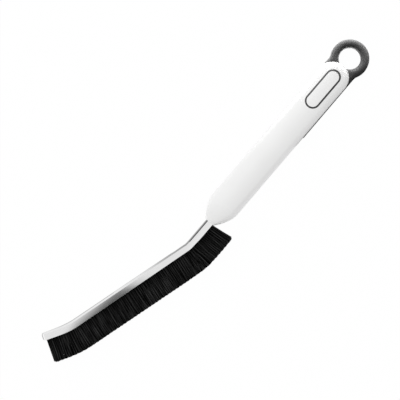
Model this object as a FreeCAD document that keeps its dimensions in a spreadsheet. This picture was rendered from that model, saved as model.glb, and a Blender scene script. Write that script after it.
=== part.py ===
import FreeCAD
import Part
import collections
import math
import os
import re
import Sketcher

# Crevice brush: a moulded handle with a hang ring at its tail and a bent channel brush in its nose.
# The origin is the centre of the hang hole. +X runs along the handle to the brush, +Y to the bristles.
# The brush lies on its flat back, with +Z up through its crowned face. Lengths are millimetres.

Vector = FreeCAD.Vector
CONFUSION = Part.Precision.confusion()

SIZES = {
    # Tail insert: hang ring, neck and back plate
    "hang_hole_diameter": 13.7,
    "hang_hole_back_chamfer": 1.9,
    "hang_ring_width": 5.4,
    "insert_thickness": 6.0,
    "insert_overhang": 0.25,
    "insert_reach": 56.5,
    "insert_back_chamfer": 0.8,
    "neck_round": 6.0,
    "tab_length": 6.0,
    "tab_width": 3.0,
    "tab_height": 5.0,
    "tab_spacing": 24.0,
    "tab_end_distance": 10.0,
    "tab_clearance": 0.1,
    # Handle
    "handle_length": 128.1,
    "handle_width": 20.0,
    "handle_crown_height": 7.5,
    "handle_crown_radius": 18.0,
    "handle_front_round": 4.8,
    "handle_back_round": 3.0,
    "handle_wall": 2.5,
    "nose_length": 15.0,
    "nose_end_width": 6.4,
    "nose_end_thickness": 7.4,
    "nose_end_round": 1.3,
    "nose_end_crown_radius": 9.0,
    "seam_drop": 1.0,
    "seam_clearance": 0.1,
    "tongue_gap": 0.05,
    "tab_socket_wall": 1.6,
    "cut_overrun": 5.0,
    # Channel
    "channel_height": 5.4,
    "channel_width": 5.0,
    "channel_mouth_width": 4.4,
    "channel_wall": 0.45,
    "channel_back_round": 1.5,
    "shank_length": 36.0,
    "shank_clearance": 0.1,
    "heel_run": 18.4,
    "heel_bend_radius": 12.0,
    "heel_bend_angle": 15.5,
    "middle_run": 82.8,
    "toe_bend_radius": 50.0,
    "toe_bend_angle": 13.5,
    "toe_run": 10.3,
    "pinch_length": 1.8,
    "pinch_width": 1.6,
    "pinch_height": 4.8,
    "pinch_round": 0.6,
    "key_length": 4.0,
    "key_width": 1.8,
    "key_clearance": 0.15,
    "key_edge_distance": 1.45,
    "key_end_distance": 17.0,
    "key_root": 0.5,
    # Core wire
    "wire_diameter": 1.5,
    "wire_inset": 2.0,
    "wire_clearance": 0.1,
    # Bristle tufts
    "bristle_length": 14.6,
    "tuft_clearance": 0.08,
    "tuft_gap": 0.12,
    "tip_spread": 6.0,
    "tip_parting": 0.9,
    "mouth_parting": 0.1,
    "heel_gap": 0.3,
    "heel_lean": 2.4,
    "toe_gap": 0.2,
    "trim_step": 0.25,
}

# How much of the ring's width each of its two rounded edges takes
RING_ROUND_SHARE = 0.48

# How many short tapers make the nose, and how fast it narrows towards its end
NOSE_TAPERS = 8
NOSE_TAPER_POWER = 1.85

# Stretches of the channel from the handle to the toe: length or angle, bend radius, and tufts side by side
Stretch = collections.namedtuple("Stretch", "name extent radius count")
STRETCHES = (
    Stretch("heel", "(heel_run - heel_gap)", None, 7),
    Stretch("heel_bend", "heel_bend_angle", "heel_bend_radius", 2),
    Stretch("middle", "middle_run", None, 34),
    Stretch("toe_bend", "toe_bend_angle", "toe_bend_radius", 4),
    Stretch("toe", "(toe_run - toe_gap)", None, 5),
)

# How fast the lean of the first tufts dies away, and the uneven trim's turn from one tuft to the next
LEAN_POWER = 2
TRIM_TURN_DEGREES = 137.5

# Places that several pieces share, as formulas of the sizes
MID_HEIGHT = "(insert_thickness / 2 + seam_drop)"
SEAM_HEIGHT = "(insert_thickness / 2)"
BACK_DEPTH = "(insert_thickness + seam_drop)"
RING_RADIUS = "(hang_hole_diameter / 2 + hang_ring_width)"
RING_ROUND = "(hang_ring_width * %r)" % RING_ROUND_SHARE
TONGUE_CENTRE = "(hang_hole_diameter / 2 + tongue_gap + handle_width / 2)"
NOSE_TIP = "(hang_hole_diameter / 2 + tongue_gap + handle_length)"
SHANK_START = "(hang_hole_diameter / 2 + tongue_gap + handle_length - shank_length)"
WIRE_OFFSET = "(wire_inset - channel_height / 2)"
THROAT = "(channel_mouth_width / 2 - channel_wall - tuft_clearance)"
HEEL_TURN = "(heel_bend_angle * 1 deg)"
TOE_TURN = "((heel_bend_angle + toe_bend_angle) * 1 deg)"
TOE_END_X = " + ".join((
    NOSE_TIP, "heel_run", "heel_bend_radius * sin(%s)" % HEEL_TURN, "middle_run * cos(%s)" % HEEL_TURN,
    "toe_bend_radius * (sin(%s) - sin(%s))" % (TOE_TURN, HEEL_TURN), "toe_run * cos(%s)" % TOE_TURN))
TOE_END_Y = " - ".join((
    "0", "heel_bend_radius * (1 - cos(%s))" % HEEL_TURN, "middle_run * sin(%s)" % HEEL_TURN,
    "toe_bend_radius * (cos(%s) - cos(%s))" % (HEEL_TURN, TOE_TURN), "toe_run * sin(%s)" % TOE_TURN))

doc = FreeCAD.newDocument("CreviceBrush")
sheet = doc.addObject("Spreadsheet::Sheet", "Sizes")
for row, (alias, number) in enumerate(SIZES.items(), start=1):
    sheet.set("A%d" % row, alias)
    sheet.set("B%d" % row, str(number))
    sheet.setAlias("B%d" % row, alias)
doc.recompute()


def formula(text):
    return re.sub(r"[a-z]+(?:_[a-z]+)+", lambda word: "Sizes." + word.group(0), text)


def value(text):
    return float(sheet.evalExpression(formula(text)))


def bind(item, **formulas):
    for name, text in formulas.items():
        item.setExpression(name, formula(text))


def new_body(label):
    body = doc.addObject("PartDesign::Body", label)
    body.Label = label
    return body


def origin_plane(body, role):
    return next(feature for feature in body.Origin.OriginFeatures if feature.Role == role)


def sketch_on(body, role, name, lift="0", rise="0"):
    sketch = body.newObject("Sketcher::SketchObject", name)
    sketch.AttachmentSupport = (origin_plane(body, role), [""])
    sketch.MapMode = "FlatFace"
    sketch.setExpression("AttachmentOffset.Base.z", formula(lift))
    sketch.setExpression("AttachmentOffset.Base.y", formula(rise))
    return sketch


def dimension(sketch, kind, where, text):
    index = sketch.addConstraint(Sketcher.Constraint(kind, *where, value(text)))
    sketch.setExpression("Constraints[%d]" % index, formula(text))


def span_angle(sketch, arc, text):
    index = sketch.addConstraint(Sketcher.Constraint("Angle", arc, math.radians(value(text))))
    sketch.setExpression("Constraints[%d]" % index, formula(text) + " * 1 deg")


def chain(sketch, pieces, closed=True):
    # Each piece is a curve, whether it is travelled forwards, and whether it runs smoothly into the next
    ids = [sketch.addGeometry(curve, False) for curve, forwards, smooth in pieces]
    for here in range(len(ids) if closed else len(ids) - 1):
        after = (here + 1) % len(ids)
        leaving = 2 if pieces[here][1] else 1
        entering = 1 if pieces[after][1] else 2
        kind = "Tangent" if pieces[here][2] else "Coincident"
        sketch.addConstraint(Sketcher.Constraint(kind, ids[here], leaving, ids[after], entering))
    return ids


def line(x_from, y_from, x_to, y_to):
    return Part.LineSegment(Vector(x_from, y_from, 0), Vector(x_to, y_to, 0))


def arc(x, y, radius, angle_from, angle_to):
    circle = Part.Circle(Vector(x, y, 0), Vector(0, 0, 1), radius)
    return Part.ArcOfCircle(circle, angle_from, angle_to)


def disc(sketch, x, y, radius):
    circle = Part.Circle(Vector(value(x), value(y), 0), Vector(0, 0, 1), value(radius))
    index = sketch.addGeometry(circle, False)
    dimension(sketch, "DistanceX", (index, 3), x)
    dimension(sketch, "DistanceY", (index, 3), y)
    dimension(sketch, "Radius", (index,), radius)


def rectangle(sketch, left, low, right, high):
    x0, y0, x1, y1 = (value(text) for text in (left, low, right, high))
    sides = [line(x0, y0, x1, y0), line(x1, y0, x1, y1), line(x1, y1, x0, y1), line(x0, y1, x0, y0)]
    ids = chain(sketch, [(side, True, False) for side in sides])
    for index, kind in zip(ids, ("Horizontal", "Vertical", "Horizontal", "Vertical")):
        sketch.addConstraint(Sketcher.Constraint(kind, index))
    dimension(sketch, "DistanceX", (ids[0], 1), left)
    dimension(sketch, "DistanceY", (ids[0], 1), low)
    dimension(sketch, "DistanceX", (ids[1], 2), right)
    dimension(sketch, "DistanceY", (ids[1], 2), high)


def extrude(body, kind, name, sketch, length=None, reverse=False, both_ways=False):
    feature = body.newObject("PartDesign::" + kind, name)
    feature.Profile = sketch
    feature.Reversed = reverse
    if both_ways:
        feature.SideType = "Symmetric"
    if length:
        bind(feature, Length=length)
    else:
        feature.Type = "ThroughAll"
    return feature


def half_section(body, name, station, half_width, crown, back, front_round, back_round, crown_radius):
    # Right half of the handle's section: flat back, rounded shoulders and a crowned face
    sketch = sketch_on(body, "YZ_Plane", name, station, MID_HEIGHT)
    width, top, depth = value(half_width), value(crown), value(back)
    front, rear, arch = value(front_round), value(back_round), value(crown_radius)
    arch_centre = top - arch
    front_centre = arch_centre + math.sqrt((arch - front) ** 2 - (width - front) ** 2)
    lean = math.atan2(front_centre - arch_centre, width - front)
    base, heel, side, shoulder, face, axis = chain(sketch, [
        (line(0, -depth, width - rear, -depth), True, True),
        (arc(width - rear, rear - depth, rear, -math.pi / 2, 0), True, True),
        (line(width, rear - depth, width, front_centre), True, True),
        (arc(width - front, front_centre, front, 0, lean), True, True),
        (arc(0, arch_centre, arch, lean, math.pi / 2), True, False),
        (line(0, top, 0, -depth), True, False),
    ])
    sketch.addConstraint(Sketcher.Constraint("Horizontal", base))
    sketch.addConstraint(Sketcher.Constraint("Vertical", side))
    sketch.addConstraint(Sketcher.Constraint("PointOnObject", face, 3, -2))
    sketch.addConstraint(Sketcher.Constraint("PointOnObject", axis, 1, -2))
    sketch.addConstraint(Sketcher.Constraint("PointOnObject", axis, 2, -2))
    dimension(sketch, "Radius", (heel,), back_round)
    dimension(sketch, "Radius", (shoulder,), front_round)
    dimension(sketch, "Radius", (face,), crown_radius)
    dimension(sketch, "DistanceX", (side, 1), half_width)
    dimension(sketch, "DistanceY", (base, 1), "-%s" % back)
    dimension(sketch, "DistanceY", (face, 3), "%s - %s" % (crown, crown_radius))
    return sketch


def grip_section(body, name, station, inset="0"):
    sizes = ("handle_width / 2", "handle_crown_height", BACK_DEPTH)
    rounds = ("handle_front_round", "handle_back_round", "handle_crown_radius")
    return half_section(body, name, station, *("(%s - %s)" % (size, inset) for size in sizes + rounds))


def nose_section(body, name, share):
    # A section of the nose, blended from the grip's section to the nose's end
    keep = 1 - share ** NOSE_TAPER_POWER
    station = "%s - nose_length * %r" % (NOSE_TIP, 1 - share)
    pairs = (
        ("handle_width / 2", "nose_end_width / 2"),
        ("handle_crown_height", "nose_end_thickness / 2"),
        (BACK_DEPTH, "nose_end_thickness / 2"),
        ("handle_front_round", "nose_end_round"),
        ("handle_back_round", "nose_end_round"),
        ("handle_crown_radius", "nose_end_crown_radius"),
    )
    blends = ["(%s * %r + %s * %r)" % (grip, keep, end, 1 - keep) for grip, end in pairs]
    return half_section(body, name, station, *blends)


def draw_channel(sketch, back, mouth, half_back, half_mouth, rounding):
    # Closed outline of the channel: a rounded back and sides that draw in towards the mouth
    x_back, x_mouth, radius = -value(back), value(mouth), value(rounding)
    y_centre, y_mouth = value(half_back) - radius, value(half_mouth)
    reach = math.hypot(x_mouth - x_back - radius, y_mouth - y_centre)
    lean = math.atan2(y_mouth - y_centre, x_mouth - x_back - radius) + math.acos(radius / reach)
    x_touch = x_back + radius + radius * math.cos(lean)
    y_touch = y_centre + radius * math.sin(lean)
    lower, lips, upper, upper_round, spine, lower_round = chain(sketch, [
        (line(x_touch, -y_touch, x_mouth, -y_mouth), True, False),
        (line(x_mouth, -y_mouth, x_mouth, y_mouth), True, False),
        (line(x_mouth, y_mouth, x_touch, y_touch), True, True),
        (arc(x_back + radius, y_centre, radius, lean, math.pi), True, True),
        (line(x_back, y_centre, x_back, -y_centre), True, True),
        (arc(x_back + radius, -y_centre, radius, math.pi, 2 * math.pi - lean), True, True),
    ])
    sketch.addConstraint(Sketcher.Constraint("Symmetric", spine, 1, spine, 2, -1))
    sketch.addConstraint(Sketcher.Constraint("Symmetric", lips, 1, lips, 2, -1))
    sketch.addConstraint(Sketcher.Constraint("Equal", upper_round, lower_round))
    dimension(sketch, "Radius", (upper_round,), rounding)
    dimension(sketch, "DistanceX", (spine, 1), "-%s" % back)
    dimension(sketch, "DistanceY", (upper_round, 3), "%s - %s" % (half_back, rounding))
    dimension(sketch, "DistanceX", (lips, 1), mouth)
    dimension(sketch, "DistanceY", (lips, 2), half_mouth)


def channel_section(sketch, room="0", mouth="channel_height / 2"):
    # The channel's outline, grown all round by a clearance or drawn in by its wall
    halves = ("channel_height / 2", "channel_width / 2", "channel_mouth_width / 2", "channel_back_round")
    back, half_back, half_mouth, rounding = ("(%s + %s)" % (half, room) for half in halves)
    draw_channel(sketch, back, mouth, half_back, half_mouth, rounding)
    return sketch


def toe_sketch(body, name, advance="0"):
    # A sketch square to the end of the channel, some way past its last tuft
    sketch = sketch_on(body, "YZ_Plane", name)
    turn = FreeCAD.Rotation(Vector(0, 1, 0), -value("heel_bend_angle + toe_bend_angle"))
    sketch.AttachmentOffset = FreeCAD.Placement(Vector(0, 0, 0), turn)
    places = {
        "Base.x": "%s - %s * sin(%s)" % (TOE_END_Y, advance, TOE_TURN),
        "Base.y": MID_HEIGHT,
        "Base.z": "%s + %s * cos(%s)" % (TOE_END_X, advance, TOE_TURN),
        "Rotation.Angle": "-" + TOE_TURN,
    }
    for name, text in places.items():
        sketch.setExpression("AttachmentOffset." + name, formula(text))
    return sketch


def strip_path(body, name, offset="0"):
    # The bent line that the channel follows, or one beside it, shifted towards the bristles
    sketch = sketch_on(body, "XY_Plane", name, MID_HEIGHT)
    heel, toe = math.radians(value("heel_bend_angle")), math.radians(value("toe_bend_angle"))
    heel_radius = "(heel_bend_radius + %s)" % offset
    toe_radius = "(toe_bend_radius + %s)" % offset
    inner, outer = value(heel_radius), value(toe_radius)
    x0, y0 = value(SHANK_START), value(offset)
    x1 = x0 + value("shank_length + heel_run")
    x2, y2 = x1 + inner * math.sin(heel), y0 - inner * (1 - math.cos(heel))
    middle = value("middle_run")
    x3, y3 = x2 + middle * math.cos(heel), y2 - middle * math.sin(heel)
    x_pivot, y_pivot = x3 - outer * math.sin(heel), y3 - outer * math.cos(heel)
    x4, y4 = x_pivot + outer * math.sin(heel + toe), y_pivot + outer * math.cos(heel + toe)
    end = value("toe_run")
    x5, y5 = x4 + end * math.cos(heel + toe), y4 - end * math.sin(heel + toe)
    up = math.pi / 2
    shank, heel_bend, run, toe_bend, tip = chain(sketch, [
        (line(x0, y0, x1, y0), True, True),
        (arc(x1, y0 - inner, inner, up - heel, up), False, True),
        (line(x2, y2, x3, y3), True, True),
        (arc(x_pivot, y_pivot, outer, up - heel - toe, up - heel), False, True),
        (line(x4, y4, x5, y5), True, False),
    ], closed=False)
    sketch.addConstraint(Sketcher.Constraint("Horizontal", shank))
    dimension(sketch, "DistanceX", (shank, 1), SHANK_START)
    dimension(sketch, "DistanceY", (shank, 1), offset)
    dimension(sketch, "Distance", (shank,), "shank_length + heel_run")
    dimension(sketch, "Radius", (heel_bend,), heel_radius)
    span_angle(sketch, heel_bend, "heel_bend_angle")
    dimension(sketch, "Distance", (run,), "middle_run")
    dimension(sketch, "Radius", (toe_bend,), toe_radius)
    span_angle(sketch, toe_bend, "toe_bend_angle")
    dimension(sketch, "Distance", (tip,), "toe_run")
    return sketch


def blocks_at(body, name, lift, places, y, length, width, room="0"):
    # A row of rectangles of one size, each grown all round by a clearance or a wall
    sketch = sketch_on(body, "XY_Plane", name, lift)
    half_length, half_width = "(%s / 2 + %s)" % (length, room), "(%s / 2 + %s)" % (width, room)
    for x in places:
        low = ("%s - %s" % (x, half_length), "%s - %s" % (y, half_width))
        high = ("%s + %s" % (x, half_length), "%s + %s" % (y, half_width))
        rectangle(sketch, *low, *high)
    return sketch


def tabs_at(body, name, room="0"):
    # The two tabs that hold the insert in the handle
    last = "(insert_reach - tab_end_distance)"
    places = ("(%s - tab_spacing)" % last, last)
    return blocks_at(body, name, SEAM_HEIGHT, places, "0", "tab_length", "tab_width", room)


def key_at(body, name, lift, room="0"):
    # The key that locks the shank of the channel in the handle
    place = "(%s + key_end_distance)" % SHANK_START
    side = "(channel_height / 2 - key_edge_distance)"
    return blocks_at(body, name, lift, (place,), side, "key_length", "key_width", room)


def make_handle():
    body = new_body("handle_body")
    grip_profile = grip_section(body, "GripProfile", TONGUE_CENTRE)
    grip = extrude(body, "Pad", "Grip", grip_profile, "handle_length - handle_width / 2 - nose_length")
    tongue = body.newObject("PartDesign::Revolution", "TongueEnd")
    tongue.Profile = grip_profile
    tongue.ReferenceAxis = (grip_profile, ["V_Axis"])
    tongue.Angle = 90
    nose = body.newObject("PartDesign::AdditiveLoft", "Nose")
    stations = range(NOSE_TAPERS + 1)
    profiles = [nose_section(body, "NoseProfile%d" % step, step / NOSE_TAPERS) for step in stations]
    nose.Profile = profiles[0]
    nose.Sections = profiles[1:]
    nose.Ruled = True
    hollow = extrude(
        body, "Pocket", "Hollow", grip_section(body, "HollowProfile", TONGUE_CENTRE, "handle_wall"),
        "handle_length - handle_width / 2 - shank_length - handle_wall", reverse=True)
    whole = body.newObject("PartDesign::Mirrored", "Whole")
    whole.Originals = [grip, tongue, nose, hollow]
    whole.MirrorPlane = (origin_plane(body, "XZ_Plane"), [""])
    body.Tip = whole
    seat = sketch_on(body, "XZ_Plane", "InsertSeatProfile")
    rectangle(seat, "-cut_overrun", "-insert_thickness", "insert_reach + seam_clearance", SEAM_HEIGHT)
    extrude(body, "Pocket", "InsertSeat", seat, both_ways=True)
    walls = tabs_at(body, "TabSocketProfile", "(tab_clearance + tab_socket_wall)")
    extrude(body, "Pad", "TabSockets", walls, "seam_drop + handle_crown_height - handle_wall / 2")
    slots = tabs_at(body, "TabSlotProfile", "tab_clearance")
    extrude(body, "Pocket", "TabSlots", slots, "tab_height + tab_clearance", reverse=True)
    socket = sketch_on(body, "YZ_Plane", "SocketProfile", NOSE_TIP, MID_HEIGHT)
    channel_section(socket, "shank_clearance", "channel_height / 2 + shank_clearance")
    extrude(body, "Pocket", "Socket", socket, "shank_length + shank_clearance")
    key_floor = "%s - channel_width / 2 - key_root" % MID_HEIGHT
    extrude(body, "Pad", "Key", key_at(body, "KeyProfile", key_floor), "channel_width + 2 * key_root")
    return body


def rim_edges(feature, height):
    # Names of a flat piece's edges at one height, apart from the straight one across its end
    names = []
    for number, edge in enumerate(feature.Shape.Edges, start=1):
        box = edge.BoundBox
        level = abs(box.ZMin - height) < CONFUSION and box.ZLength < CONFUSION
        across = box.XLength < CONFUSION
        if level and not across:
            names.append("Edge%d" % number)
    return names


def bore_edges(feature, height):
    # Names of the round edges of the hang hole at one height
    bore = value("hang_hole_diameter / 2")
    names = []
    for name in rim_edges(feature, height):
        curve = feature.Shape.getElement(name).Curve
        if isinstance(curve, Part.Circle) and abs(curve.Radius - bore) < CONFUSION:
            names.append(name)
    return names


def dress(body, kind, name, base, edges, size):
    # A fillet or a chamfer on named edges of the feature before it
    feature = body.newObject("PartDesign::" + kind, name)
    feature.Base = (base, edges)
    feature.setExpression("Radius" if kind == "Fillet" else "Size", formula(size))
    doc.recompute()
    return feature


def make_tail_insert():
    body = new_body("tail_insert")
    outline = sketch_on(body, "XY_Plane", "InsertOutline", "-insert_thickness / 2")
    ring, neck = value(RING_RADIUS), value("neck_round")
    half = value("handle_width / 2 + insert_overhang")
    end = value("insert_reach")
    x_neck = math.sqrt((ring + neck) ** 2 - (half + neck) ** 2)
    lean = math.atan2(half + neck, x_neck)
    around, left_neck, left, across, right, right_neck = chain(outline, [
        (arc(0, 0, ring, lean, 2 * math.pi - lean), True, True),
        (arc(x_neck, -half - neck, neck, math.pi / 2, math.pi - lean), False, True),
        (line(x_neck, -half, end, -half), True, False),
        (line(end, -half, end, half), True, False),
        (line(end, half, x_neck, half), True, True),
        (arc(x_neck, half + neck, neck, math.pi + lean, 3 * math.pi / 2), False, True),
    ])
    outline.addConstraint(Sketcher.Constraint("Coincident", around, 3, -1, 1))
    outline.addConstraint(Sketcher.Constraint("Equal", left_neck, right_neck))
    outline.addConstraint(Sketcher.Constraint("Horizontal", left))
    outline.addConstraint(Sketcher.Constraint("Horizontal", right))
    outline.addConstraint(Sketcher.Constraint("Symmetric", across, 1, across, 2, -1))
    dimension(outline, "Radius", (around,), RING_RADIUS)
    dimension(outline, "Radius", (left_neck,), "neck_round")
    dimension(outline, "DistanceX", (across, 1), "insert_reach")
    dimension(outline, "DistanceY", (across, 2), "handle_width / 2 + insert_overhang")
    plate = extrude(body, "Pad", "Plate", outline, "insert_thickness")
    doc.recompute()
    face = value(SEAM_HEIGHT)
    rim = dress(body, "Fillet", "Rim", plate, rim_edges(plate, face), RING_ROUND)
    dress(body, "Chamfer", "BackRim", rim, rim_edges(rim, -face), "insert_back_chamfer")
    bore = sketch_on(body, "XY_Plane", "HangHoleProfile", SEAM_HEIGHT)
    disc(bore, "0", "0", "hang_hole_diameter / 2")
    hole = extrude(body, "Pocket", "HangHole", bore)
    doc.recompute()
    lip = dress(body, "Fillet", "HangHoleLip", hole, bore_edges(hole, face), RING_ROUND)
    dress(body, "Chamfer", "HangHoleBackLip", lip, bore_edges(lip, -face), "hang_hole_back_chamfer")
    seat = sketch_on(body, "XY_Plane", "SeatProfile")
    half_seat, centre = value("handle_width / 2"), value(TONGUE_CENTRE)
    tongue, low, stop, high = chain(seat, [
        (arc(centre, 0, half_seat, math.pi / 2, 3 * math.pi / 2), True, True),
        (line(centre, -half_seat, end, -half_seat), True, False),
        (line(end, -half_seat, end, half_seat), True, False),
        (line(end, half_seat, centre, half_seat), True, True),
    ])
    seat.addConstraint(Sketcher.Constraint("Horizontal", low))
    seat.addConstraint(Sketcher.Constraint("Symmetric", stop, 1, stop, 2, -1))
    seat.addConstraint(Sketcher.Constraint("PointOnObject", tongue, 3, -1))
    dimension(seat, "Radius", (tongue,), "handle_width / 2")
    dimension(seat, "DistanceX", (tongue, 3), TONGUE_CENTRE)
    dimension(seat, "DistanceX", (stop, 1), "insert_reach")
    extrude(body, "Pad", "Seat", seat, SEAM_HEIGHT)
    extrude(body, "Pad", "Tabs", tabs_at(body, "TabProfile"), "tab_height")
    return body


def make_channel():
    body = new_body("brush_channel")
    path = strip_path(body, "ChannelPath")
    solid = body.newObject("PartDesign::AdditivePipe", "ChannelOuter")
    solid.Profile = channel_section(sketch_on(body, "YZ_Plane", "OuterProfile", SHANK_START, MID_HEIGHT))
    solid.Spine = path
    groove_profile = sketch_on(body, "YZ_Plane", "GrooveProfile", SHANK_START, MID_HEIGHT)
    channel_section(groove_profile, "-channel_wall", "channel_height / 2 + channel_wall")
    groove = body.newObject("PartDesign::SubtractivePipe", "ChannelGroove")
    groove.Profile = groove_profile
    groove.Spine = path
    pinch_end = toe_sketch(body, "PinchEndProfile", "pinch_length")
    half_height, half_width = "(pinch_height / 2)", "(pinch_width / 2)"
    draw_channel(pinch_end, half_height, half_height, half_width, half_width, "pinch_round")
    pinch = body.newObject("PartDesign::AdditiveLoft", "ToePinch")
    pinch.Profile = channel_section(toe_sketch(body, "PinchRootProfile"))
    pinch.Sections = [pinch_end]
    slot = key_at(body, "KeySlotProfile", MID_HEIGHT, "key_clearance")
    extrude(body, "Pocket", "KeySlot", slot, both_ways=True)
    return body


def make_core_wire():
    body = new_body("core_wire")
    path = strip_path(body, "WirePath", WIRE_OFFSET)
    section = sketch_on(body, "YZ_Plane", "WireProfile", SHANK_START, MID_HEIGHT)
    disc(section, WIRE_OFFSET, "0", "wire_diameter / 2")
    wire = body.newObject("PartDesign::AdditivePipe", "Wire")
    wire.Profile = section
    wire.Spine = path
    return body


def wedge(name, near, far, x_near, x_far, z_near, z_far):
    # A block that runs along +Y, with its own width and thickness at each end
    item = doc.addObject("Part::Wedge", name)
    bind(item, Ymin=near, Ymax=far, Xmin=x_near[0], Xmax=x_near[1], X2min=x_far[0], X2max=x_far[1])
    bind(item, Zmin=z_near[0], Zmax=z_near[1], Z2min=z_far[0], Z2max=z_far[1])
    return item


def both_sides(half):
    return ("-(%s)" % half, "(%s)" % half)


def half_width(stretch, reach):
    # Half of a tuft's width at a distance from the channel's middle line: tufts fan out round a bend
    if stretch.radius:
        length = "((%s + %s) * %s / 180 * pi)" % (stretch.radius, reach, stretch.extent)
    else:
        length = stretch.extent
    return "((%s / %d - tuft_gap) / 2)" % (length, stretch.count)


def tuft_fold(stretch):
    # The folded end of a tuft, clamped in the channel, with a way through it for the wire
    back = "(channel_wall + tuft_clearance - channel_height / 2)"
    mouth = "(channel_height / 2)"
    widest = half_width(stretch, mouth)
    block = wedge(
        stretch.name + "_block", back, mouth, both_sides(half_width(stretch, back)), both_sides(widest),
        both_sides("channel_width / 2 - channel_back_round"), both_sides(THROAT))
    way = doc.addObject("Part::Box", stretch.name + "_wire_way")
    side = "(wire_diameter + 2 * wire_clearance)"
    bind(way, Length="2 * %s" % widest, Width=side, Height=side)
    low = -value(side) / 2
    way.Placement.Base = Vector(-value(widest), value(WIRE_OFFSET) + low, low)
    fold = doc.addObject("Part::Cut", stretch.name + "_fold")
    fold.Base = block
    fold.Tool = way
    return fold


def make_tuft(number, fold, stretch, place, lean_share, trim_share):
    # One folded bundle: two legs of filament that leave the channel's mouth and spread to their tips
    mouth = "(channel_height / 2)"
    tip = "(channel_height / 2 + bristle_length + trim_step * %r)" % trim_share
    lean = "heel_lean * %r" % lean_share
    far = half_width(stretch, tip)
    x_near = both_sides(half_width(stretch, mouth))
    x_far = ("-%s - %s" % (far, lean), "%s - %s" % (far, lean))
    front_near, front_far = ("mouth_parting / 2", THROAT), ("tip_parting / 2", "tip_spread / 2")
    rear_near, rear_far = ("-" + THROAT, "-mouth_parting / 2"), ("-tip_spread / 2", "-tip_parting / 2")
    label = "bristle_tuft_%02d" % number
    front = wedge(label + "_front", mouth, tip, x_near, x_far, front_near, front_far)
    rear = wedge(label + "_rear", mouth, tip, x_near, x_far, rear_near, rear_far)
    tuft = doc.addObject("Part::MultiFuse", label)
    tuft.Label = label
    tuft.Shapes = [fold, front, rear]
    tuft.Placement = place
    return tuft


def along(stretch, share, x, y, turn):
    # Place and heading after a share of a stretch, from the place and heading at its start
    extent = value(stretch.extent) * share
    if not stretch.radius:
        return x + extent * math.cos(turn), y - extent * math.sin(turn), turn
    bend = value(stretch.radius)
    after = turn + math.radians(extent)
    return x + bend * (math.sin(after) - math.sin(turn)), y + bend * (math.cos(after) - math.cos(turn)), after


def make_tufts():
    # Walk along the channel stretch by stretch, and set the tufts side by side in each
    tufts = []
    start = value(NOSE_TIP + " + heel_gap"), 0.0, 0.0
    for stretch in STRETCHES:
        fold = tuft_fold(stretch)
        for step in range(stretch.count):
            middle_share = (step + 0.5) / stretch.count
            x, y, turn = along(stretch, middle_share, *start)
            spin = FreeCAD.Rotation(Vector(0, 0, 1), -math.degrees(turn))
            place = FreeCAD.Placement(Vector(x, y, value(MID_HEIGHT)), spin)
            lean_share = (1 - middle_share) ** LEAN_POWER if stretch.name == "heel" else 0.0
            trim_share = math.sin(math.radians(TRIM_TURN_DEGREES) * len(tufts))
            shares = round(lean_share, 4), round(trim_share, 4)
            tufts.append(make_tuft(len(tufts) + 1, fold, stretch, place, *shares))
        start = along(stretch, 1, *start)
    return tufts


parts = [make_handle(), make_tail_insert(), make_channel(), make_core_wire()] + make_tufts()
doc.recompute()

for item in doc.Objects:
    if "Invalid" in item.State or "Error" in item.State:
        raise RuntimeError("%s did not build: %s" % (item.Name, item.State))
for part in parts:
    if part.Shape.isNull() or not part.Shape.isValid():
        raise RuntimeError("%s has no sound shape" % part.Label)

os.makedirs("parts", exist_ok=True)
for part in parts:
    part.Shape.exportStep(os.path.join("parts", part.Label + ".step"))
    if not part.Label.startswith("bristle"):
        print(part.Label, round(part.Shape.Volume, 1), len(part.Shape.Solids), part.Shape.BoundBox)
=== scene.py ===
import math
import random

import bmesh
import bpy
from mathutils import Matrix, Vector


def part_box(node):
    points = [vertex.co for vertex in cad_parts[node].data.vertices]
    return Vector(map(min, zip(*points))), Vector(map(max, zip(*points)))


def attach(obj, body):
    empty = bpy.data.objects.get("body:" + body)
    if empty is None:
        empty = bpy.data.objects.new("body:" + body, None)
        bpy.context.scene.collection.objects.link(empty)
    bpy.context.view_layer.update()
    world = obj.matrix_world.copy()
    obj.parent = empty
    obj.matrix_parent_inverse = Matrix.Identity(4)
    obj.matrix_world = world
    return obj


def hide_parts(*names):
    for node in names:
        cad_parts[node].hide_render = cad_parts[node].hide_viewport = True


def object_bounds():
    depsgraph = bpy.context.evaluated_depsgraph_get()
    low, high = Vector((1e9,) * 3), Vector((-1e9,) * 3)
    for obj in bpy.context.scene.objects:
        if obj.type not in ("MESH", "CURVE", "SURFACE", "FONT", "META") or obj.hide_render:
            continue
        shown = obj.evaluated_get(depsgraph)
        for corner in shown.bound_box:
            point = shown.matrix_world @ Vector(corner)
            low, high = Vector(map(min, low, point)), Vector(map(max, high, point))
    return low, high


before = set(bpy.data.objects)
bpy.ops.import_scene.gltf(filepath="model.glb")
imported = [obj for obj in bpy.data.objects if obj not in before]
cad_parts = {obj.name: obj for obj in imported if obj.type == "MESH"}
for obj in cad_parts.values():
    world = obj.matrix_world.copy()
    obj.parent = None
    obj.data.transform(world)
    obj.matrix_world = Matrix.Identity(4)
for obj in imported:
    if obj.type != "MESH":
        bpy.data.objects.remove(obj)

mm = 0.001        # pieces are modelled in millimetres and brought to metres as they are finished
weld = 0.001        # corners nearer than this, in millimetres, are one corner
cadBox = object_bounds()
print("frame:", len(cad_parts), "nodes")


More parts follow.
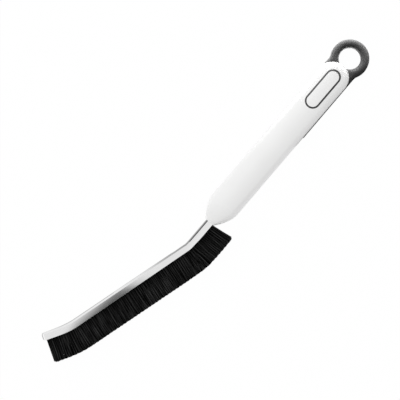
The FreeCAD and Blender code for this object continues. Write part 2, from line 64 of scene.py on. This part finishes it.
# shader maths
class Socket:        # an output socket that can be added, multiplied and so on
    def __init__(self, tree, link):
        self.tree = tree
        self.link = link

    def maths(self, operation, left, right):
        return self.tree.add("ShaderNodeMath", {"operation": operation}, {0: left, 1: right})

    def __add__(self, other):
        return self.maths("ADD", self, other)

    def __radd__(self, other):
        return self.maths("ADD", other, self)

    def __sub__(self, other):
        return self.maths("SUBTRACT", self, other)

    def __rsub__(self, other):
        return self.maths("SUBTRACT", other, self)

    def __mul__(self, other):
        return self.maths("MULTIPLY", self, other)

    def __rmul__(self, other):
        return self.maths("MULTIPLY", other, self)

    def brighter(self, other):
        return self.maths("MAXIMUM", self, other)

    def output(self, name):        # another output of the same node
        return Socket(self.tree, self.link.node.outputs[name])


class ShaderTree:        # the nodes of one material, or of the world
    def __init__(self, owner):
        owner.use_nodes = True
        self.owner = owner
        self.nodes = owner.node_tree.nodes
        self.links = owner.node_tree.links

    def add(self, kind, settings=None, inputs=None, output=0):
        node = self.nodes.new(kind)
        for name, setting in (settings or {}).items():
            if name == "stops":
                self.setStops(node.color_ramp, setting)
            else:
                setattr(node, name, setting)
        self.feed(node, inputs or {})
        return Socket(self, node.outputs[output])

    def feed(self, node, inputs):
        for name, given in inputs.items():
            if isinstance(given, Socket):
                self.links.new(given.link, node.inputs[name])
            else:
                node.inputs[name].default_value = given

    def setStops(self, ramp, stops):
        while len(ramp.elements) < len(stops):
            ramp.elements.new(1.0)
        for element, (place, level) in zip(ramp.elements, stops):
            element.position = place
            element.color = grey(level)

    def blend(self, factor, first, second):
        return self.add("ShaderNodeMix", {"data_type": "RGBA"}, {0: factor, 6: first, 7: second}, 2)

    def noise(self, place, scale, detail=2.0):
        return self.add("ShaderNodeTexNoise", None, {"Vector": place, "Scale": scale, "Detail": detail})

    def seenDirectly(self):        # 1 for camera, mirror and glass rays, 0 for the rays that carry light
        ray = self.add("ShaderNodeLightPath", output="Is Camera Ray")
        return ray + ray.output("Is Glossy Ray") + ray.output("Is Transmission Ray")


def newLook(name, inputs):
    tree = ShaderTree(bpy.data.materials.new(name))
    tree.feed(tree.nodes["Principled BSDF"], inputs)
    return tree


def grey(level):
    return (level, level, level, 1.0)


# finishes
handleLook = {"pale": (0.815, 0.815, 0.812, 1.0), "paler": (0.845, 0.845, 0.842, 1.0), "refraction": 1.49,
              "gloss": 0.30, "glossSpread": 0.10, "cloudScale": 45.0,
              "peelScale": 1100.0, "peelStrength": 0.25, "peelDepth": 0.004}


def makeHandleLook():        # moulded white plastic with a faint orange peel
    look = newLook("handleWhite", {"IOR": handleLook["refraction"]})
    place = look.add("ShaderNodeTexCoord", output="Object")
    cloud = look.noise(place, handleLook["cloudScale"])
    peel = look.noise(place, handleLook["peelScale"])
    bump = look.add("ShaderNodeBump", None, {
        "Strength": handleLook["peelStrength"], "Distance": handleLook["peelDepth"] * mm,
        "Height": peel})
    look.feed(look.nodes["Principled BSDF"], {
        "Base Color": look.blend(cloud, handleLook["pale"], handleLook["paler"]),
        "Roughness": handleLook["gloss"] + handleLook["glossSpread"] * cloud,
        "Normal": bump})
    return look.owner


insertLook = {"dark": grey(0.016), "light": grey(0.022), "refraction": 1.4, "gloss": 0.60,
              "glossSpread": 0.10, "grainScale": 2600.0, "grainDetail": 3.0, "grainStrength": 0.35,
              "grainDepth": 0.003}


def makeInsertLook():        # dark grey satin plastic with a fine spark grain
    look = newLook("insertGrey", {"IOR": insertLook["refraction"]})
    place = look.add("ShaderNodeTexCoord", output="Object")
    grain = look.noise(place, insertLook["grainScale"], insertLook["grainDetail"])
    bump = look.add("ShaderNodeBump", None, {
        "Strength": insertLook["grainStrength"], "Distance": insertLook["grainDepth"] * mm,
        "Height": grain})
    look.feed(look.nodes["Principled BSDF"], {
        "Base Color": look.blend(grain, insertLook["dark"], insertLook["light"]),
        "Roughness": insertLook["gloss"] + insertLook["glossSpread"] * grain,
        "Normal": bump})
    return look.owner


channelLook = {"plate": grey(0.90), "shine": grey(0.96), "gloss": 0.05, "glossSpread": 0.06,
               "drawnLength": 40.0, "drawnWidth": 5200.0, "drawnDetail": 4.0, "drawnStrength": 0.2,
               "drawnDepth": 0.002}


def makeChannelLook():        # bright plated strip, with draw lines along its length
    look = newLook("channelSteel", {"Metallic": 1.0})
    lengthwise = look.add("ShaderNodeUVMap", {"uv_map": "along"})
    stretched = look.add("ShaderNodeMapping", None, {"Vector": lengthwise, "Scale": (
        channelLook["drawnLength"], channelLook["drawnWidth"], 1.0)})
    drawn = look.noise(stretched, 1.0, channelLook["drawnDetail"])
    bump = look.add("ShaderNodeBump", None, {
        "Strength": channelLook["drawnStrength"], "Distance": channelLook["drawnDepth"] * mm,
        "Height": drawn})
    look.feed(look.nodes["Principled BSDF"], {
        "Base Color": look.blend(drawn, channelLook["plate"], channelLook["shine"]),
        "Roughness": channelLook["gloss"] + channelLook["glossSpread"] * drawn,
        "Normal": bump})
    return look.owner


wireLook = {"dull": grey(0.42), "bright": grey(0.62), "gloss": 0.30, "glossSpread": 0.2,
            "drawScale": 900.0}


def makeWireLook():        # plain drawn wire
    look = newLook("wireSteel", {"Metallic": 1.0})
    place = look.add("ShaderNodeTexCoord", output="Object")
    drawn = look.noise(place, wireLook["drawScale"])
    look.feed(look.nodes["Principled BSDF"], {
        "Base Color": look.blend(drawn, wireLook["dull"], wireLook["bright"]),
        "Roughness": wireLook["gloss"] + wireLook["glossSpread"] * drawn})
    return look.owner


# the pale bristle colour is painted sheen, standing in for light glinting along the filaments
bristleLook = {"black": grey(0.0008), "paintedSheen": grey(0.038), "gloss": 0.40, "glossSpread": 0.15,
               "specular": 0.03}


def makeBristleLook():        # black nylon, with tones that change from lock to lock; the pale end of the blend is painted sheen along the filaments
    look = newLook("bristleBlack", {"Specular IOR Level": bristleLook["specular"]})
    tone = look.add("ShaderNodeAttribute", {"attribute_name": "tone"}, output="Fac")
    look.feed(look.nodes["Principled BSDF"], {
        "Base Color": look.blend(tone, bristleLook["black"], bristleLook["paintedSheen"]),
        "Roughness": bristleLook["gloss"] + bristleLook["glossSpread"] * tone})
    return look.owner


inkLook = {"thin": grey(0.032), "full": grey(0.016), "refraction": 1.45, "gloss": 0.50, "glossSpread": 0.2,
           "patchScale": 1500.0}


def makeInkLook():        # pad-printed grey ink, a little uneven
    look = newLook("printGrey", {"IOR": inkLook["refraction"]})
    place = look.add("ShaderNodeTexCoord", output="Object")
    patch = look.noise(place, inkLook["patchScale"])
    look.feed(look.nodes["Principled BSDF"], {
        "Base Color": look.blend(patch, inkLook["thin"], inkLook["full"]),
        "Roughness": inkLook["gloss"] + inkLook["glossSpread"] * patch})
    return look.owner


# modelling helpers
def pick(made, kind):
    return [item for item in made if isinstance(item, kind)]


def lineTo(bm, vert, point):        # draws an edge from a vertex to a point
    end = bmesh.ops.extrude_vert_indiv(bm, verts=[vert])["verts"][0]
    end.co = point
    return end


def pushOn(bm, edges, travel):        # extrudes a chain of edges straight on and gives its new end
    made = bmesh.ops.extrude_edge_only(bm, edges=edges)["geom"]
    verts = pick(made, bmesh.types.BMVert)
    bmesh.ops.translate(bm, verts=verts, vec=travel)
    fresh = set(verts)
    return [edge for edge in pick(made, bmesh.types.BMEdge) if fresh.issuperset(edge.verts)]


def swingOn(bm, edges, centre, turn, steps):        # spins a chain of edges round an upright axis
    made = bmesh.ops.spin(bm, geom=edges, cent=centre, axis=(0, 0, 1), steps=steps,
                          angle=-math.radians(turn))
    return pick(made["geom_last"], bmesh.types.BMEdge)


def vertsOf(edges):
    return list({vert for edge in edges for vert in edge.verts})


def shadeSmooth(bm, sharpAngle):
    for face in bm.faces:
        face.smooth = True
    for edge in bm.edges:
        edge.smooth = edge.calc_face_angle(0.0) < math.radians(sharpAngle)


def finishPiece(bm, name, look, replaced=()):        # to metres, and onto the body
    bmesh.ops.scale(bm, vec=(mm, mm, mm), verts=bm.verts)
    mesh = bpy.data.meshes.new(name)
    bm.to_mesh(mesh)
    bm.free()
    mesh.materials.append(look)
    piece = bpy.data.objects.new(name, mesh)
    bpy.context.scene.collection.objects.link(piece)
    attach(piece, "root")
    if replaced:
        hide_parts(*replaced)
    print("piece:", name, len(mesh.polygons), "faces")
    return piece


def dressNode(name, look):        # a CAD node that stays gets the finish in its own slots
    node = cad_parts[name]
    for slot in node.material_slots:
        slot.material = look


# the middle line of the metal strip, from the end of the handle's nose
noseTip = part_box("handle_body")[1].x / mm
stripLow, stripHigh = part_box("brush_channel")
stripHeight = (stripLow.z + stripHigh.z) / 2 / mm
strip = {"heelRun": 18.4, "heelRadius": 12.0, "heelTurn": 15.5, "middleRun": 82.8,
         "toeRadius": 50.0, "toeTurn": 13.5, "toeRun": 10.3}
heelBend = strip["heelRadius"] * math.radians(strip["heelTurn"])
toeBend = strip["toeRadius"] * math.radians(strip["toeTurn"])
stretches = [(strip["heelRun"], None), (heelBend, strip["heelRadius"]), (strip["middleRun"], None),
             (toeBend, strip["toeRadius"]), (strip["toeRun"], None)]
stripRun = sum(length for length, radius in stretches)


def alongStrip(distance):        # a point on the middle line, the way on and the way out to the bristles
    x, y, turned = noseTip, 0.0, 0.0
    for length, radius in stretches:
        step = min(distance, length)
        if radius:
            after = turned + step / radius
            x += radius * (math.sin(after) - math.sin(turned))
            y += radius * (math.cos(after) - math.cos(turned))
            turned = after
        else:
            x += step * math.cos(turned)
            y -= step * math.sin(turned)
        distance -= step
        if distance <= 0.0:
            break
    onward = Vector((math.cos(turned), -math.sin(turned), 0.0))
    outward = Vector((math.sin(turned), math.cos(turned), 0.0))
    return Vector((x, y, stripHeight)), onward, outward


def curvatureAt(distance):        # how sharply the strip bends there, in radians to the millimetre
    for length, radius in stretches:
        if distance < length:
            return 1.0 / radius if radius else 0.0
        distance -= length
    return 0.0


# metal channel
channel = {"half": 2.5, "back": 2.7, "backRound": 1.7, "lip": 2.58, "lipHalf": 2.21, "wall": 0.45,
           "lipRound": 0.1, "lipRoundSteps": 2, "rimAngle": 60, "smoothAngle": 50, "flatWeight": 90,
           "roundSteps": 10, "bendSteps": 12, "pinchRun": 1.8, "pinchHalf": 0.5, "pinchSweep": 68.0,
           "pinchSteps": 8, "drawRun": 7.0, "heelDraw": 0.38, "toeDraw": -0.12}


def drawChannelSection(bm, x):        # the folded sheet, seen along the strip, from one lip to the other
    upper = [(channel["lip"], channel["lipHalf"]),
             (channel["backRound"] - channel["back"], channel["half"]),
             (-channel["back"], channel["half"])]
    corners = upper + [(y, -z) for y, z in reversed(upper)]
    verts = [bm.verts.new((x, corners[0][0], stripHeight + corners[0][1]))]
    for y, z in corners[1:]:
        verts.append(lineTo(bm, verts[-1], (x, y, stripHeight + z)))
    bmesh.ops.bevel(bm, geom=[verts[2], verts[3]], offset=channel["backRound"], offset_type="OFFSET",
                    segments=channel["roundSteps"], profile=0.5, affect="VERTICES", material=-1)
    bmesh.ops.remove_doubles(bm, verts=bm.verts, dist=weld)
    around = bm.verts.layers.float.new("around")        # the way round the fold, for the draw lines
    for vert in bm.verts:
        vert[around] = channel["half"] * math.atan2(vert.co.z - stripHeight, -vert.co.y)
    return bm.edges[:]


def drawLips(edges, outward, draw):        # a bend draws both lips in, down the slope of their walls
    wallHeight = channel["lip"] + channel["back"] - channel["backRound"]
    slope = (channel["half"] - channel["lipHalf"]) / wallHeight
    for vert in vertsOf(edges):
        if len(edges.intersection(vert.link_edges)) == 1:        # only a lip ends the chain of edges
            vert.co -= outward * draw
            vert.co.z += draw * math.copysign(slope, vert.co.z - stripHeight)


def pinchToe(bm, edges):        # the end is squeezed flat and rounded off in a few short steps
    middle, onward, outward = alongStrip(stripRun)
    turned = Matrix((onward, outward, (0, 0, 1))).to_4x4() @ Matrix.Translation(-middle)
    sweep = math.radians(channel["pinchSweep"])
    reached, width, height = 0.0, 1.0, 1.0
    for count in range(1, channel["pinchSteps"] + 1):
        angle = sweep * count / channel["pinchSteps"]
        share = math.sin(angle) / math.sin(sweep)
        edges = pushOn(bm, edges, onward * channel["pinchRun"] * (share - reached))
        narrowed = math.cos(angle)
        squeezed = 1.0 - (1.0 - channel["pinchHalf"] / channel["half"]) * share ** 2
        bmesh.ops.scale(bm, vec=(1.0, narrowed / width, squeezed / height), space=turned,
                        verts=vertsOf(edges))
        reached, width, height = share, narrowed, squeezed


def makeChannel(look):
    bm = bmesh.new()
    start = stripLow.x / mm
    end = drawChannelSection(bm, start)
    end = pushOn(bm, end, (noseTip - start + strip["heelRun"] - channel["drawRun"], 0, 0))
    end = pushOn(bm, end, (channel["drawRun"], 0, 0))
    reached = strip["heelRun"]
    middle, onward, outward = alongStrip(reached)
    drawLips(set(end), outward, channel["heelDraw"])
    end = swingOn(bm, end, middle - outward * strip["heelRadius"], strip["heelTurn"],
                  channel["bendSteps"])
    reached += heelBend
    end = pushOn(bm, end, alongStrip(reached)[1] * strip["middleRun"])
    reached += strip["middleRun"]
    middle, onward, outward = alongStrip(reached)
    drawLips(set(end), outward, channel["toeDraw"] - channel["heelDraw"])
    end = swingOn(bm, end, middle - outward * strip["toeRadius"], strip["toeTurn"],
                  channel["bendSteps"])
    reached += toeBend
    middle, onward, outward = alongStrip(reached)
    end = pushOn(bm, end, onward * strip["toeRun"])
    drawLips(set(end), outward, -channel["toeDraw"])
    pinchToe(bm, end)
    bmesh.ops.remove_doubles(bm, verts=bm.verts, dist=weld)
    bmesh.ops.recalc_face_normals(bm, faces=bm.faces)
    bmesh.ops.solidify(bm, geom=bm.faces[:], thickness=channel["wall"])
    rim = [edge for edge in bm.edges if edge.calc_face_angle(0.0) > math.radians(channel["rimAngle"])]
    bmesh.ops.bevel(bm, geom=rim, offset=channel["lipRound"], offset_type="OFFSET",
                    segments=channel["lipRoundSteps"], profile=0.5, affect="EDGES", material=-1)
    shadeSmooth(bm, channel["smoothAngle"])
    around = bm.verts.layers.float["around"]
    layer = bm.loops.layers.uv.new("along")
    for face in bm.faces:
        for loop in face.loops:
            loop[layer].uv = (loop.vert.co.x * mm, loop.vert[around] * mm)
    piece = finishPiece(bm, "brushChannel", look, ["brush_channel"])
    flatten = piece.modifiers.new("flatFaces", "WEIGHTED_NORMAL")        # wide faces reflect as flat ones
    flatten.weight = channel["flatWeight"]
    flatten.keep_sharp = True


# bristles
bristle = {"pitch": 0.36, "rows": 9, "fan": 10.0, "radius": 0.18, "tipRadius": 0.16, "sides": 6,
           "smoothAngle": 60, "cuts": 2, "length": 14.9, "root": 0.4, "mouth": 2.7, "rootHalf": 1.36,
           "tipHalf": 2.65, "stray": 0.17, "riseStray": 0.12, "bend": 0.30, "clump": 0.13, "tuftRun": 2.44,
           "tuftSlant": 0.4, "heelGap": 0.8, "toeGap": 0.52, "heelLean": 2.4, "toeLean": 0.4,
           "leanRun": 18.0, "trim": 0.20, "trimWave": 2.4, "cornerRun": 1.1,
           "bendTrim": 0.26, "bendTrimRun": 6.5,
           "lockRun": (0.45, 0.85), "lockOverrun": 1.0, "darkTone": (0.0, 0.03), "sheenTone": (0.25, 1.05),
           "toneSpread": (0.7, 1.3), "ringTonesRootShade": (0.0, 0.75, 1.1, 1.1), "seed": 11}
bristleGroups = [("bristlesHeel", 1, 9, strip["heelRun"] + heelBend),
                 ("bristlesMiddleFirst", 10, 26, strip["heelRun"] + heelBend + strip["middleRun"] / 2),
                 ("bristlesMiddleSecond", 27, 43, strip["heelRun"] + heelBend + strip["middleRun"]),
                 ("bristlesToe", 44, 52, stripRun)]        # piece, its first and last tuft, where it ends


def sowPlaces():        # places along the strip, closer where a bend fans the bristles out
    distance = bristle["heelGap"]
    while distance < stripRun - bristle["toeGap"]:
        yield distance
        distance += bristle["pitch"] / (1.0 + bristle["fan"] * curvatureAt(distance))


def makeFilament(bm):        # one straight bristle, a unit long, standing on the origin
    verts = bmesh.ops.create_cone(bm, cap_ends=True, segments=bristle["sides"], depth=1.0,
                                  radius1=bristle["radius"], radius2=bristle["tipRadius"])["verts"]
    bmesh.ops.translate(bm, verts=verts, vec=(0, 0, 0.5))
    upright = [edge for edge in bm.edges if abs(edge.verts[0].co.z - edge.verts[1].co.z) > 0.5]
    bmesh.ops.subdivide_edges(bm, edges=upright, cuts=bristle["cuts"], use_grid_fill=True)
    return bm.verts[:]


def growFilaments(bm, count):        # copies the first bristle, doubling the lot until there are enough
    filaments = [makeFilament(bm)]
    while len(filaments) < count:
        wanted = filaments[:count - len(filaments)]
        verts = [vert for filament in wanted for vert in filament]
        faces = list({face for vert in verts for face in vert.link_faces})
        edges = list({edge for vert in verts for edge in vert.link_edges})
        twin = bmesh.ops.duplicate(bm, geom=verts + edges + faces)["vert_map"]
        filaments += [[twin[vert] for vert in filament] for filament in wanted]
    return filaments


def sowLocks(draw):        # where each thin lock of filament ends along the strip, and its tone: pale locks are painted sheen, dark ones lie between them
    locks, end = [], 0.0
    while end < stripRun + bristle["lockOverrun"]:
        end += draw.uniform(*bristle["lockRun"])
        tones = bristle["sheenTone"] if len(locks) % 2 else bristle["darkTone"]
        locks.append((end, draw.uniform(*tones)))
    return locks


def plantFilament(verts, distance, height, draw):        # leans, bends and trims a bristle in its place
    middle, onward, outward = alongStrip(distance)
    tuft = math.floor(distance / bristle["tuftRun"] + bristle["tuftSlant"] * height)
    centre = (tuft + 0.5 - bristle["tuftSlant"] * height) * bristle["tuftRun"]
    endLean = bristle["heelLean"] * max(0.0, 1.0 - distance / bristle["leanRun"]) ** 2
    endLean += bristle["toeLean"] * max(0.0, 1.0 - (stripRun - distance) / bristle["leanRun"]) ** 2
    lean = bristle["clump"] * (centre - distance) + draw.gauss(0.0, bristle["stray"]) - endLean
    inside = min(distance - bristle["heelGap"], stripRun - bristle["toeGap"] - distance)
    corner = min(1.0, max(0.0, 1.0 - inside / bristle["cornerRun"]))
    trim = bristle["trim"] / 2 * math.sin(distance * bristle["trimWave"])
    trim -= abs(draw.gauss(0.0, bristle["trim"]))
    trim -= bristle["cornerRun"] * (1.0 - math.sqrt(1.0 - corner ** 2))
    pastBend = (distance - strip["heelRun"] - heelBend / 2) / bristle["bendTrimRun"]
    trim -= bristle["bendTrim"] * math.exp(-pastBend ** 2)        # an even sweep of tips at the heel bend
    reach = bristle["mouth"] - bristle["root"] + math.sqrt(bristle["length"] ** 2 - lean ** 2) + trim
    rise = height * (bristle["tipHalf"] - bristle["rootHalf"]) + draw.gauss(0.0, bristle["riseStray"])
    bend = draw.gauss(0.0, bristle["bend"])
    turn = draw.uniform(0.0, math.tau)
    base = middle + outward * bristle["root"] + Vector((0, 0, height * bristle["rootHalf"]))
    for vert in verts:
        across, up, share = vert.co
        side = across * math.cos(turn) - up * math.sin(turn)
        side += lean * share + bend * share * (share - 1.0)
        lift = across * math.sin(turn) + up * math.cos(turn) + rise * share
        vert.co = base + onward * side + outward * (reach * share) + Vector((0, 0, lift))


def makeBristles(look):
    draw = random.Random(bristle["seed"])
    places = list(sowPlaces())
    locks = [sowLocks(draw) for ring in bristle["ringTonesRootShade"]]        # each ring of a filament has its own
    begin = 0.0
    for name, first, last, finish in bristleGroups:
        columns = [place for place in places if begin <= place < finish]
        begin = finish
        bm = bmesh.new()
        tone = bm.verts.layers.float.new("tone")
        filaments = growFilaments(bm, len(columns) * bristle["rows"])
        rings = [round(vert.co.z * (bristle["cuts"] + 1)) for vert in filaments[0]]
        for index, verts in enumerate(filaments):
            column, row = divmod(index, bristle["rows"])
            height = 2.0 * (row + draw.random()) / bristle["rows"] - 1.0
            distance = columns[column] + draw.uniform(-0.5, 0.5) * bristle["pitch"]
            plantFilament(verts, distance, height, draw)
            own = draw.uniform(*bristle["toneSpread"])
            shades = [own * next(shade for end, shade in lock if distance < end) for lock in locks]
            for vert, ring in zip(verts, rings):
                # the ring tones darken the root ring as painted shade where the bristles leave the channel
                vert[tone] = shades[ring] * bristle["ringTonesRootShade"][ring]
        shadeSmooth(bm, bristle["smoothAngle"])
        finishPiece(bm, name, look,
                    ["bristle_tuft_%02d" % number for number in range(first, last + 1)])


# printed outline on the crown of the handle
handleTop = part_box("handle_body")[1].z / mm
panel = {"centre": 27.1, "shift": 0.15, "length": 27.9, "width": 8.7, "line": 1.08,
         "lift": 0.03, "sink": 0.03, "crownRadius": 18.0, "arcSteps": 48}


def stadiumLoop(bm, radius):        # two half circles and the straight sides between them
    verts = bmesh.ops.create_circle(bm, segments=panel["arcSteps"], radius=radius,
                                    matrix=Matrix.Rotation(math.pi / panel["arcSteps"], 4, "Z"))["verts"]
    for vert in verts:
        vert.co.x += math.copysign((panel["length"] - panel["width"]) / 2, vert.co.x)
    return list({edge for vert in verts for edge in vert.link_edges})


def makePanelLine(look):
    bm = bmesh.new()
    inner = stadiumLoop(bm, (panel["width"] - panel["line"]) / 2)
    outer = stadiumLoop(bm, (panel["width"] + panel["line"]) / 2)
    bmesh.ops.bridge_loops(bm, edges=inner + outer)
    bmesh.ops.recalc_face_normals(bm, faces=bm.faces)
    if bm.faces[:][0].normal.z < 0:
        bmesh.ops.reverse_faces(bm, faces=bm.faces)
    raised = bmesh.ops.extrude_face_region(bm, geom=bm.faces[:], use_keep_orig=True)["geom"]
    upper = pick(raised, bmesh.types.BMVert)
    bmesh.ops.translate(bm, verts=upper, vec=(0, 0, panel["lift"] + panel["sink"]))
    bmesh.ops.translate(bm, verts=bm.verts, vec=(panel["centre"], panel["shift"], 0))
    for vert in bm.verts:
        drop = panel["crownRadius"] - math.sqrt(panel["crownRadius"] ** 2 - vert.co.y ** 2)
        vert.co.z += handleTop - drop - panel["sink"]
    bmesh.ops.recalc_face_normals(bm, faces=bm.faces)
    finishPiece(bm, "panelLine", look)


# floor, lights and camera
stage = {"floorSize": 6.0, "floorDrop": 0.02, "floorGrey": 0.9, "floorShow": 0.985, "worldLight": 0.82,
         "worldShow": 1.0}
key = {"power": 3.2, "size": 1.2, "distance": 1.0, "swing": -105.0, "height": 42.0}
fill = {"power": 1.1, "size": 0.8, "distance": 1.0, "swing": -95.0, "height": 8.0}
aim = Vector((128.41, -13.61, 4.0)) * mm        # the point that the camera looks at


def makeFloor():
    bm = bmesh.new()
    bmesh.ops.create_grid(bm, x_segments=1, y_segments=1, size=stage["floorSize"] / 2)
    bmesh.ops.translate(bm, verts=bm.verts, vec=(aim.x, aim.y, cadBox[0].z - stage["floorDrop"] * mm))
    mesh = bpy.data.meshes.new("floor")
    bm.to_mesh(mesh)
    bm.free()
    tree = ShaderTree(bpy.data.materials.new("floorWhite"))
    lit = tree.add("ShaderNodeBsdfDiffuse", None, {"Color": grey(stage["floorGrey"])})
    shown = tree.add("ShaderNodeEmission", None, {"Color": grey(1.0), "Strength": 1.0})
    showing = tree.seenDirectly() * stage["floorShow"]
    mixed = tree.add("ShaderNodeMixShader", None, {0: showing, 1: lit, 2: shown})
    tree.feed(tree.nodes["Material Output"], {"Surface": mixed})
    mesh.materials.append(tree.owner)
    floor = bpy.data.objects.new("floor", mesh)
    bpy.context.scene.collection.objects.link(floor)


def makeWorld():
    world = bpy.data.worlds.new("studio")
    bpy.context.scene.world = world
    tree = ShaderTree(world)
    strength = stage["worldLight"] + (stage["worldShow"] - stage["worldLight"]) * tree.seenDirectly()
    tree.feed(tree.nodes["Background"], {"Color": grey(1.0), "Strength": strength})


def lookAt(spot, away, across):        # the turn of a lamp or camera that looks back along away
    back = away.normalized()
    right = (across - back * across.dot(back)).normalized()
    up = back.cross(right)
    return Matrix.Translation(spot) @ Matrix((right, up, back)).transposed().to_4x4()


def wayTo(swing, height):        # a way out from the object, by its compass angle and its rise
    swing, height = math.radians(swing), math.radians(height)
    level = math.cos(height)
    return Vector((math.cos(swing) * level, math.sin(swing) * level, math.sin(height)))


def makeLamp(name, power, size, distance, swing, height):
    lamp = bpy.data.lights.new(name, "AREA")
    lamp.energy = power
    lamp.size = size
    away = wayTo(swing, height)
    holder = bpy.data.objects.new(name, lamp)
    holder.matrix_world = lookAt(aim + away * distance, away, Vector((1, 0, 0)))
    bpy.context.scene.collection.objects.link(holder)


# cards that only show as reflections: upright ones, one overhead and mats that lie just over the floor
cards = {
    "overCard": {"spot": (50, 0, 1000), "swing": -90, "height": 90, "size": (800, 750), "level": "banded"},
    "rimCard": {"spot": (-178, -28, 20), "swing": -139, "height": 0, "size": (240, 54), "level": 19.0},
    "rimMat": {"spot": (-146.5, -2, -6.8), "swing": -139, "height": 90, "size": (240, 60), "level": 8.0},
    "frontCard": {"spot": (0, 740, 300), "swing": 90, "height": 22, "size": (2200, 750), "level": 0.02},
    "frontMat": {"spot": (-180, 208, -6.8), "swing": -90, "height": 90, "size": (230, 390), "level": 0.03},
    "heelCard": {"spot": (15.5, -2, 34.5), "swing": -90, "height": 0, "size": (19, 83), "level": "banded"},
    "heelMat": {"spot": (19, 5, -6.8), "swing": -90, "height": 90, "size": (24, 14), "level": 0.75},
    "bendCard": {"spot": (51, -9.4, 11), "swing": -105, "height": 0, "size": (54, 36), "level": "banded"},
    "lipCard": {"spot": (16.7, 27.4, 62), "swing": -91.5, "height": 90, "size": (34, 16), "level": 0.85},
    "stripCard": {"spot": (37, -148, 296), "swing": -105, "height": 0, "size": (300, 600), "level": 0.86},
    "stripMat": {"spot": (75, -130, -6.8), "swing": -90, "height": 90, "size": (80, 280), "level": 0.55},
    "toeMat": {"spot": (149, -28, -6.7), "swing": -29, "height": 90, "size": (60, 34), "level": 0.50},
}        # places are millimetres from the point that the camera looks at
bands = {        # ramps of light along a way out, from a start and over a run in millimetres
    "overCard": [
        {"swing": 0, "height": 0, "start": 192, "run": 40, "stops": [
            (0, 0.82), (0.44, 0.70), (0.88, 0.13), (1, 0.10)]},
        {"swing": -64, "height": 0, "start": 32, "run": 89, "stops": [
            (0, 0.10), (0.17, 0.12), (0.31, 0.20), (0.44, 0.31), (0.58, 0.43), (0.83, 0.65), (1, 0.82)]}],
    "heelCard": [
        {"swing": 0, "height": 90, "start": -7, "run": 42, "stops": [
            (0, 0.62), (0.13, 0.50), (0.29, 0.33), (0.45, 0.17), (0.62, 0.08), (0.9, 0.05)]}],
    "bendCard": [
        {"swing": 0, "height": 0, "start": 25, "run": 52, "stops": [
            (0, 0.38), (0.25, 0.44), (0.35, 0.52), (0.45, 0.68), (0.60, 0.80), (1, 0.86)]}],
}


def bandAlong(tree, swing, height, start, run, stops):
    way = wayTo(swing, height)
    place = tree.add("ShaderNodeTexCoord", output="Object")
    along = tree.add("ShaderNodeVectorMath", {"operation": "DOT_PRODUCT"}, {0: place, 1: way}, "Value")
    share = (along - (way.dot(aim) + start * mm)) * (1.0 / (run * mm))
    return tree.add("ShaderNodeValToRGB", {"stops": stops}, {"Fac": share})


def makeCard(name, spot, swing, height, size, level):
    bm = bmesh.new()
    bmesh.ops.create_grid(bm, x_segments=1, y_segments=1, size=0.5)
    bmesh.ops.scale(bm, vec=(size[0] * mm, size[1] * mm, 1.0), verts=bm.verts)
    place = lookAt(aim + Vector(spot) * mm, wayTo(swing, height), wayTo(swing + 90, 0))
    bmesh.ops.transform(bm, matrix=place, verts=bm.verts)
    mesh = bpy.data.meshes.new(name)
    bm.to_mesh(mesh)
    bm.free()
    tree = ShaderTree(bpy.data.materials.new(name))
    if level == "banded":        # where bands cross, the brighter one shows
        shown = [bandAlong(tree, **values) for values in bands[name]]
        level = shown[0] if len(shown) == 1 else shown[0].brighter(shown[1])
    glow = tree.add("ShaderNodeEmission", None, {"Color": grey(1.0), "Strength": level})
    tree.feed(tree.nodes["Material Output"], {"Surface": glow})
    mesh.materials.append(tree.owner)
    card = bpy.data.objects.new(name, mesh)
    bpy.context.scene.collection.objects.link(card)
    card.visible_camera = card.visible_diffuse = card.visible_transmission = card.visible_shadow = False


def makeCards():
    for name, values in cards.items():
        makeCard(name, **values)


lens = {"distance": 0.65, "lean": 4.5, "turn": 49.59, "view": 0.250, "nearest": 0.01}


def makeCamera():
    camera = bpy.data.cameras.new("camera")
    camera.lens = camera.sensor_width * lens["distance"] / lens["view"]
    camera.clip_start = lens["nearest"]
    lean, turn = math.radians(lens["lean"]), math.radians(lens["turn"])
    away = Vector((0.0, math.sin(lean), math.cos(lean)))
    holder = bpy.data.objects.new("camera", camera)
    across = Vector((-math.cos(turn), math.sin(turn), 0.0))
    holder.matrix_world = lookAt(aim + away * lens["distance"], away, across)
    bpy.context.scene.collection.objects.link(holder)
    bpy.context.scene.camera = holder


makeCamera()
makeFloor()
makeWorld()
makeLamp("key", **key)
makeLamp("fill", **fill)
makeCards()
print("stage set")

dressNode("handle_body", makeHandleLook())
dressNode("tail_insert", makeInsertLook())
dressNode("core_wire", makeWireLook())
makePanelLine(makeInkLook())
makeChannel(makeChannelLook())
makeBristles(makeBristleLook())

bpy.context.scene.view_settings.view_transform = "Standard"
